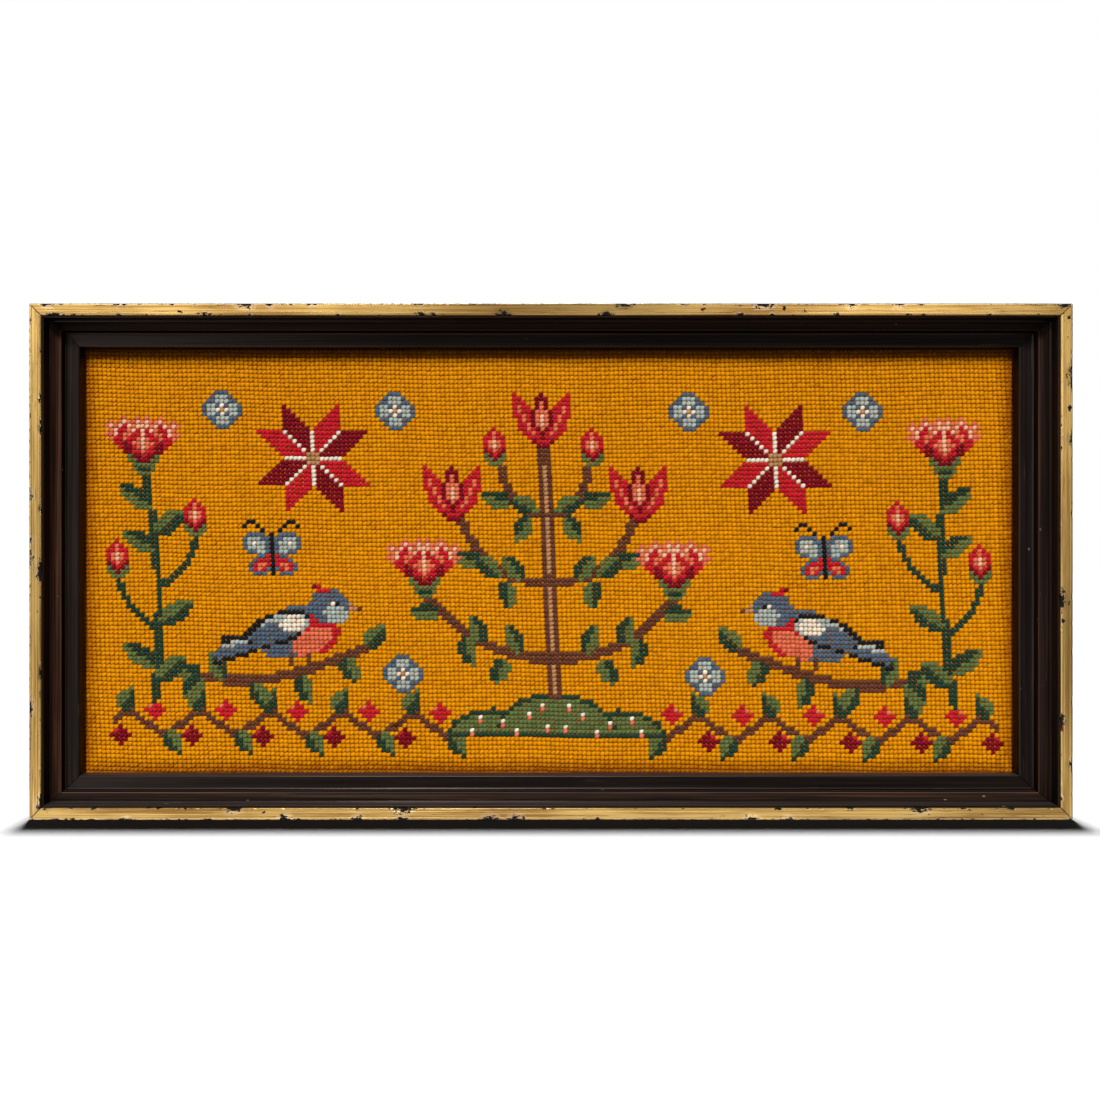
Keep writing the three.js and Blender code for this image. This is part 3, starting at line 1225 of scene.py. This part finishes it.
@dataclass
class Needlepoint:
    """The stitched panel: a canvas sheet and its tent stitches, one piece for each wool."""

    width: float
    height: float
    low: Vector
    high: Vector
    sight_inset: float = 20.6 * MM
    under_lip: float = 2.5 * MM
    pitch_across: float = 2.54 * MM
    pitch_up: float = 2.48 * MM
    lean: float = math.radians(2.6)
    top_sag: float = 2.4 * MM
    foot_tilt: float = 0.012
    ripple: float = 0.25 * MM
    ripple_across: float = 83 * MM
    ripple_up: float = 31 * MM
    sway: float = 0.2 * MM
    sway_across: float = 60 * MM
    sway_up: float = 17 * MM
    uneven: float = 0.07 * MM
    slant_spread: float = math.radians(2)
    fat_spread: float = 0.06
    tuck: float = 0.9 * MM
    tuck_reach: float = 9 * MM
    canvas_cells: tuple[int, int] = (72, 32)
    canvas_thickness: float = 0.9 * MM
    canvas_behind: float = 1 * MM
    stitch_rise: float = 0.7 * MM
    stitch_tone: float = 0.08
    streak_tone: float = 0.025
    streak_count: int = 1000
    # Painted light and shade on each stitch: its tone is full on the crown and falls towards the holes at its
    # ends and down its sides
    crown_painted_light: float = 1.0
    hole_painted_shade: float = 0.7
    side_painted_shade: float = 0.35
    # Painted shade on the stitches near the frame's sight edge, under its lip
    edge_tone: float = 0.75
    spare_columns: int = 8
    spare_rows: int = 4
    ground_bands: int = 4
    seed: int = 7
    bead: StitchBead = field(default_factory=StitchBead)
    canvas: CanvasFinish = CanvasFinish()
    waves: tuple[CanvasWave, ...] = (
        CanvasWave(0.16 * MM, 1.5, 0.5, 0.6),
        CanvasWave(0.11 * MM, 3.5, 1.5, 2.1),
        CanvasWave(0.08 * MM, 5.0, 2.5, 4.4),
    )

    def build(self, chart: StitchChart) -> None:
        """Builds the canvas and its stitches from a chart."""
        sheet = self.canvas_sheet()
        stitches = self.stitches(chart)
        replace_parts(sheet, "needlepoint_panel")

    def rise(self, x: np.ndarray, z: np.ndarray) -> np.ndarray:
        """Gives how far the canvas stands out at places counted from the picture's middle.

        Args:
            x: the places along X.
            z: the places along Z.

        Returns:
            Its low unevenness, less the tuck where it goes under the frame.
        """
        across, up = 2 * math.pi * x / self.width, 2 * math.pi * z / self.height
        waves = sum(w.rise * np.sin(w.across * across + w.up * up + w.turn) for w in self.waves)
        return waves - self.tuck * self.near_edge(x, z) ** 2

    def near_edge(self, x: np.ndarray, z: np.ndarray) -> np.ndarray:
        """Gives how near places lie to the frame's sight edge, from 0 well inside to 1 at the edge."""
        open_across = self.width / 2 - self.sight_inset - np.abs(x)
        open_up = self.height / 2 - self.sight_inset - np.abs(z)
        return np.clip(1 - np.minimum(open_across, open_up) / self.tuck_reach, 0, 1)

    def front(self) -> float:
        """Gives where the even face of the stitches lies along Y."""
        return self.low.y + sum(w.rise for w in self.waves)

    def canvas_sheet(self) -> bpy.types.Object:
        """Builds the canvas behind the stitches as one stretched sheet."""
        size = self.high - self.low
        sheet = bmesh.new()
        across, up = self.canvas_cells
        bmesh.ops.create_grid(sheet, x_segments=across, y_segments=up, size=0.5)
        bmesh.ops.scale(sheet, vec=(size.x, size.z, 1), verts=sheet.verts)
        bmesh.ops.rotate(sheet, matrix=Matrix.Rotation(math.radians(90), 3, "X"), verts=sheet.verts)
        back = bmesh.ops.extrude_face_region(sheet, geom=[*sheet.faces])
        behind = [item for item in back["geom"] if isinstance(item, bmesh.types.BMVert)]
        bmesh.ops.translate(sheet, verts=behind, vec=(0, self.canvas_thickness, 0))
        for vert in sheet.verts:
            vert.co.y += self.front() + self.canvas_behind - float(self.rise(vert.co.x, vert.co.z))
        bmesh.ops.translate(sheet, verts=sheet.verts, vec=(0, 0, self.height / 2))
        bmesh.ops.recalc_face_normals(sheet, faces=sheet.faces)
        mesh = finished_mesh("canvas", sheet)
        mesh.shade_smooth()
        return piece("canvas", mesh, self.canvas.material("canvas"))

    def hole(self, column: np.ndarray, row: np.ndarray) -> tuple[np.ndarray, np.ndarray]:
        """Gives where a hole of the stretched canvas lies, counted from the picture's middle.

        Args:
            column: its column, whole or half.
            row: its row, whole or half.

        Returns:
            Its places along X and Z.
        """
        up = row * self.pitch_up
        x = column * self.pitch_across - math.tan(self.lean) * up
        side = 2 * x / self.width
        near_top = np.clip(up / self.height + 0.5, 0, 1)
        sag = -self.top_sag * (1 - side**2) * near_top
        tilt = -self.foot_tilt * x * (1 - near_top)
        ripple = self.ripple * np.sin(2 * math.pi * x / self.ripple_across + up / self.ripple_up)
        sway = self.sway * np.sin(up / self.sway_up + x / self.sway_across)
        return x + sway, up + sag + tilt + ripple

    def stitches(self, chart: StitchChart) -> list[bpy.types.Object]:
        """Works every stitch of the chart, as one piece for each wool and a few bands of ground."""
        half_width = self.width / 2 - self.sight_inset + self.under_lip
        half_height = self.height / 2 - self.sight_inset + self.under_lip
        last_column = int(half_width / self.pitch_across) + self.spare_columns
        last_row = int(half_height / self.pitch_up) + self.spare_rows
        counted = (np.arange(-last, last + 1) for last in (last_column, last_row))
        columns, rows = (grid.ravel() for grid in np.meshgrid(*counted))
        x, z = self.hole(columns, rows)
        worked = (np.abs(x) < half_width) & (np.abs(z) < half_height)
        columns, rows, z = columns[worked], rows[worked], z[worked]
        cells = zip(columns.tolist(), rows.tolist())
        wools = np.array([chart.cells.get(cell, Wool.MUSTARD).name for cell in cells])
        bands = ((z / half_height + 1) / 2 * self.ground_bands).astype(int)
        bands = np.clip(bands, 0, self.ground_bands - 1)
        made = []
        for wool in Wool:
            finish = WoolFinish(DYES[wool]).material(f"{wool.name.lower()}_wool")
            chosen = wools == wool.name
            parts = {f"{wool.name.lower()}_stitches": chosen}
            if wool is Wool.MUSTARD:
                counts = range(self.ground_bands)
                parts = {f"ground_stitches_{band + 1}": chosen & (bands == band) for band in counts}
            for name, part in parts.items():
                made.append(self.strands(name, columns[part], rows[part], finish))
        return made

    def strands(
        self, name: str, columns: np.ndarray, rows: np.ndarray, finish: bpy.types.Material
    ) -> bpy.types.Object:
        """Makes one piece of many stitches, each a copy of the bead from hole to hole.

        Args:
            name: the piece's name.
            columns: column of each stitch.
            rows: row of each stitch.
            finish: its wool.

        Returns:
            The piece.
        """
        shape, faces, corners = self.bead.template()
        count = len(columns)
        chance = np.random.default_rng([self.seed, *name.encode()])
        start_x, start_z = self.hole(columns - 0.5, rows - 0.5)
        end_x, end_z = self.hole(columns + 0.5, rows + 0.5)
        turn = chance.normal(0, self.slant_spread, count)
        cos, sin = np.cos(turn), np.sin(turn)
        half_x, half_z = (end_x - start_x) / 2, (end_z - start_z) / 2
        half_x, half_z = half_x * cos - half_z * sin, half_x * sin + half_z * cos
        half_length = np.hypot(half_x, half_z)
        middle_x = (start_x + end_x) / 2 + chance.normal(0, self.uneven, count)
        middle_z = (start_z + end_z) / 2 + chance.normal(0, self.uneven, count)
        middle_y = self.front() + self.stitch_rise - self.rise(middle_x, middle_z)
        middle_y = middle_y + chance.normal(0, self.uneven, count)
        fat = chance.normal(1, self.fat_spread, count)
        across, up, along = (shape[None, :, axis] for axis in range(3))
        wide = across * fat[:, None]
        x = middle_x[:, None] + along * half_x[:, None] - wide * (half_z / half_length)[:, None]
        y = middle_y[:, None] - up * fat[:, None]
        z = middle_z[:, None] + along * half_z[:, None] + wide * (half_x / half_length)[:, None]
        points = np.stack([x, y, z + self.height / 2], axis=2)
        triangles = faces[None] + (np.arange(count) * len(shape))[:, None, None]
        mesh = bpy.data.meshes.new(name)
        self.write(mesh, points.reshape(-1, 3), triangles.reshape(-1, 3))
        tone = self.tones(columns, rows) + chance.normal(0, self.stitch_tone, count)
        # Painted shade: the stitches darken towards the frame's sight edge
        tone -= self.edge_tone * self.near_edge(middle_x, middle_z)
        # Painted light and shade: each stitch is lightest on its crown and darker towards the holes at its
        # ends and down its sides
        aside = across / self.bead.half_width
        deep = self.crown_painted_light - self.hole_painted_shade * np.abs(along) ** 3 - self.side_painted_shade * aside**2
        tone_and_painted_shade = np.clip(tone[:, None] + deep, 0, 1)
        # The tone attribute holds each stitch's own tone together with this painted light and shade
        mesh.attributes.new("tone", "FLOAT", "POINT").data.foreach_set("value", tone_and_painted_shade.ravel())
        across_map = math.ceil(math.sqrt(count))
        cell = np.stack([np.arange(count) % across_map, np.arange(count) // across_map], axis=1)
        inner = self.bead.patch_margin + (1 - 2 * self.bead.patch_margin) * corners
        places = (cell[:, None, None, :] + inner[None]) / across_map
        mesh.uv_layers.new(name="OFBake").uv.foreach_set("vector", places.ravel())
        return piece(name, mesh, finish)

    def tones(self, columns: np.ndarray, rows: np.ndarray) -> np.ndarray:
        """Gives how much lighter or darker each stitch is for its row and column, as wool varies."""
        chance = np.random.default_rng(self.seed)
        streaks = chance.normal(0, self.streak_tone, (2, self.streak_count))
        return streaks[0][rows] + streaks[1][columns]

    @staticmethod
    def write(mesh: bpy.types.Mesh, points: np.ndarray, triangles: np.ndarray) -> None:
        """Fills a mesh with points and smooth triangles."""
        mesh.vertices.add(len(points))
        mesh.vertices.foreach_set("co", points.ravel())
        mesh.loops.add(triangles.size)
        mesh.loops.foreach_set("vertex_index", triangles.ravel())
        mesh.polygons.add(len(triangles))
        mesh.polygons.foreach_set("loop_start", np.arange(0, triangles.size, 3))
        mesh.update(calc_edges=True)
        mesh.validate()
        mesh.shade_smooth()


class SoftBox(NamedTuple):
    """A soft box in the camera's plane: its four sides, along X and Z, and how bright it looks."""

    name: str
    left: float
    right: float
    low: float
    high: float
    glow: float


@dataclass
class Studio:
    """White floor and backdrop, a soft light from above in front, soft boxes for the gilt, a camera."""

    width: float
    height: float
    depth: float
    image: int = 1100
    picture_pixels: float = 1044.3
    camera_away: float = 470 * MM
    camera_left_pixels: float = 48
    camera_up_pixels: float = 11.6
    centre_pixel: float = 551
    sensor: float = 36
    floor_reach: float = 6
    floor_segments: int = 96
    horizon_glow: float = 0.125
    zenith_glow: float = 0.55
    below_glow: float = 0.5
    left_glow: float = 1.25
    # Where each glow starts and is full, as parts of the direction's unit length
    zenith_marks: Pair = (0.1, 0.9)
    below_marks: Pair = (-0.08, -0.45)
    left_marks: Pair = (-0.15, -0.6)
    key_strength: float = 3.2
    gilt_key_strength: float = 1.0
    gilt_key_above: float = math.radians(60)
    key_above: float = math.radians(44)
    key_aside: float = math.radians(-5)
    key_soft: float = math.radians(14)
    back_strength: float = 0.9
    back_above: float = math.radians(35)
    back_soft: float = math.radians(20)
    floor_strength: float = 118
    floor_tilt: float = math.radians(4.6)
    floor_soft: float = math.radians(3.5)
    soft_boxes: tuple[SoftBox, ...] = (
        SoftBox("left_box", -570 * MM, -106 * MM, 320 * MM, 600 * MM, 2.6),
        SoftBox("right_box", 188 * MM, 560 * MM, 160 * MM, 600 * MM, 2.9),
        SoftBox("low_box", -580 * MM, 600 * MM, -340 * MM, -70 * MM, 1.6),
    )

    def build(self, strips: list[bpy.types.Object]) -> None:
        """Sets up the floor, the lights, the backdrop and the camera.

        Args:
            strips: the gilt strips, which mirror soft boxes of their own.
        """
        floor = self.floor()
        below = math.radians(90)
        key_turn = (below - self.key_above, 0, self.key_aside)
        gilt_turn = (below - self.gilt_key_above, 0, self.key_aside)
        key = self.sun("key_light", self.key_strength, self.key_soft, key_turn)
        gilt_key = self.sun("gilt_key_light", self.gilt_key_strength, self.key_soft, gilt_turn)
        back = self.sun("back_light", self.back_strength, self.back_soft, (self.back_above - below, 0, 0))
        under = self.sun("floor_light", self.floor_strength, self.floor_soft, (-self.floor_tilt, 0, 0))
        self.link(key, [floor, *strips], "EXCLUDE")
        self.link(back, [floor], "EXCLUDE")
        self.link(under, [floor], "INCLUDE")
        for light in (gilt_key, *map(self.hang, self.soft_boxes)):
            self.link(light, strips, "INCLUDE")
        self.sky()
        self.camera()
        bpy.context.scene.view_settings.view_transform = "Standard"

    def floor(self) -> bpy.types.Object:
        """Lays a wide round floor under the picture, which throws no light back on it."""
        disc = bmesh.new()
        bmesh.ops.create_circle(disc, cap_ends=True, segments=self.floor_segments, radius=self.floor_reach)
        mesh = bpy.data.meshes.new("floor")
        disc.to_mesh(mesh)
        disc.free()
        mesh.materials.append(FloorFinish().material("floor"))
        made = bpy.data.objects.new("floor", mesh)
        made.visible_diffuse = False
        made.visible_glossy = False
        made.visible_shadow = False
        bpy.context.scene.collection.objects.link(made)
        return made

    def sun(self, name: str, strength: float, soft: float, turn: Triple) -> bpy.types.Object:
        """Hangs one far, soft light.

        Args:
            name: the light's name.
            strength: its strength.
            soft: how wide it looks, as an angle.
            turn: its turn from pointing straight down.

        Returns:
            The light.
        """
        lamp = bpy.data.lights.new(name, "SUN")
        lamp.energy = strength
        lamp.angle = soft
        made = bpy.data.objects.new(name, lamp)
        made.rotation_euler = turn
        bpy.context.scene.collection.objects.link(made)
        return made

    def hang(self, box: SoftBox) -> bpy.types.Object:
        """Hangs a soft box upright in the camera's plane, shining on the picture.

        Args:
            box: the box.

        Returns:
            The light.
        """
        lamp = bpy.data.lights.new(box.name, "AREA")
        lamp.shape = "RECTANGLE"
        lamp.size, lamp.size_y = box.right - box.left, box.high - box.low
        lamp.energy = box.glow * math.pi * lamp.size * lamp.size_y
        made = bpy.data.objects.new(box.name, lamp)
        middle = ((box.left + box.right) / 2, (box.low + box.high) / 2)
        made.location = (middle[0], -self.depth / 2 - self.camera_away, middle[1])
        made.rotation_euler = (math.radians(90), 0, 0)
        made.visible_camera = False
        bpy.context.scene.collection.objects.link(made)
        return made

    @staticmethod
    def link(light: bpy.types.Object, things: list[bpy.types.Object], state: str) -> None:
        """Lets a light fall on some things alone, or on everything but those.

        Args:
            light: the light.
            things: the things.
            state: INCLUDE or EXCLUDE.
        """
        receivers = bpy.data.collections.new(f"{light.name}_receivers")
        for thing in things:
            receivers.objects.link(thing)
        for member in receivers.collection_objects:
            member.light_linking.link_state = state
        light.light_linking.receiver_collection = receivers

    def sky(self) -> None:
        """Fills the room with light from above, mirrored glows below and at the left, a white backdrop."""
        world = bpy.data.worlds.new("studio")
        world.use_nodes = True
        sketch = NodeSketch(tree=world.node_tree)
        towards = sketch.add("ShaderNodeTexCoord", {}).outputs["Generated"]
        parts = sketch.add("ShaderNodeSeparateXYZ", {0: towards}).outputs
        above = sketch.step(parts["Z"], self.zenith_marks, (self.horizon_glow, self.zenith_glow))
        below = sketch.step(parts["Z"], self.below_marks, (0, self.below_glow))
        left = sketch.step(parts["X"], self.left_marks, (0, self.left_glow))
        paths = sketch.add("ShaderNodeLightPath", {}).outputs
        mirrored = sketch.times(sketch.plus(below, left), paths["Is Glossy Ray"])
        backdrop = world.node_tree.nodes["Background"]
        sketch.feed(backdrop.inputs["Color"], (1, 1, 1))
        glow = sketch.plus(above, mirrored)
        sketch.feed(backdrop.inputs["Strength"], sketch.sums("MAXIMUM", paths["Is Camera Ray"], glow))
        bpy.context.scene.world = world

    def camera(self) -> None:
        """Stands the camera in front of the picture, a little to the left of its middle."""
        per_pixel = self.width / self.picture_pixels
        lens = bpy.data.cameras.new("camera")
        lens.sensor_width = self.sensor
        lens.lens = self.sensor * self.camera_away / (per_pixel * self.image)
        foot = self.centre_pixel - self.camera_left_pixels
        lens.shift_x = 0.5 - foot / self.image
        made = bpy.data.objects.new("camera", lens)
        made.location = (
            -self.camera_left_pixels * per_pixel,
            -self.depth / 2 - self.camera_away,
            self.height / 2 + self.camera_up_pixels * per_pixel,
        )
        made.rotation_euler = (math.radians(90), 0, 0)
        bpy.context.scene.collection.objects.link(made)
        bpy.context.scene.camera = made


def dress_board() -> None:
    """Gives the backing board its finish."""
    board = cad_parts["backing_board"]
    finish = BoardFinish().material("brown_board")
    for slot in board.material_slots:
        slot.material = finish
    log.info("backing_board: dressed")


def main() -> None:
    """Builds the picture, piece by piece, and the studio round it."""
    logging.basicConfig(level=logging.INFO, format="%(name)s %(message)s")
    size = CAD_BOX[1] - CAD_BOX[0]
    strips = Frame(size.x, size.z, size.y).build()
    low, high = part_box("needlepoint_panel")
    Needlepoint(size.x, size.z, low, high).build(FolkGarden().chart())
    dress_board()
    Studio(size.x, size.z, size.y).build(strips)


if __name__ == "__main__":
    main()
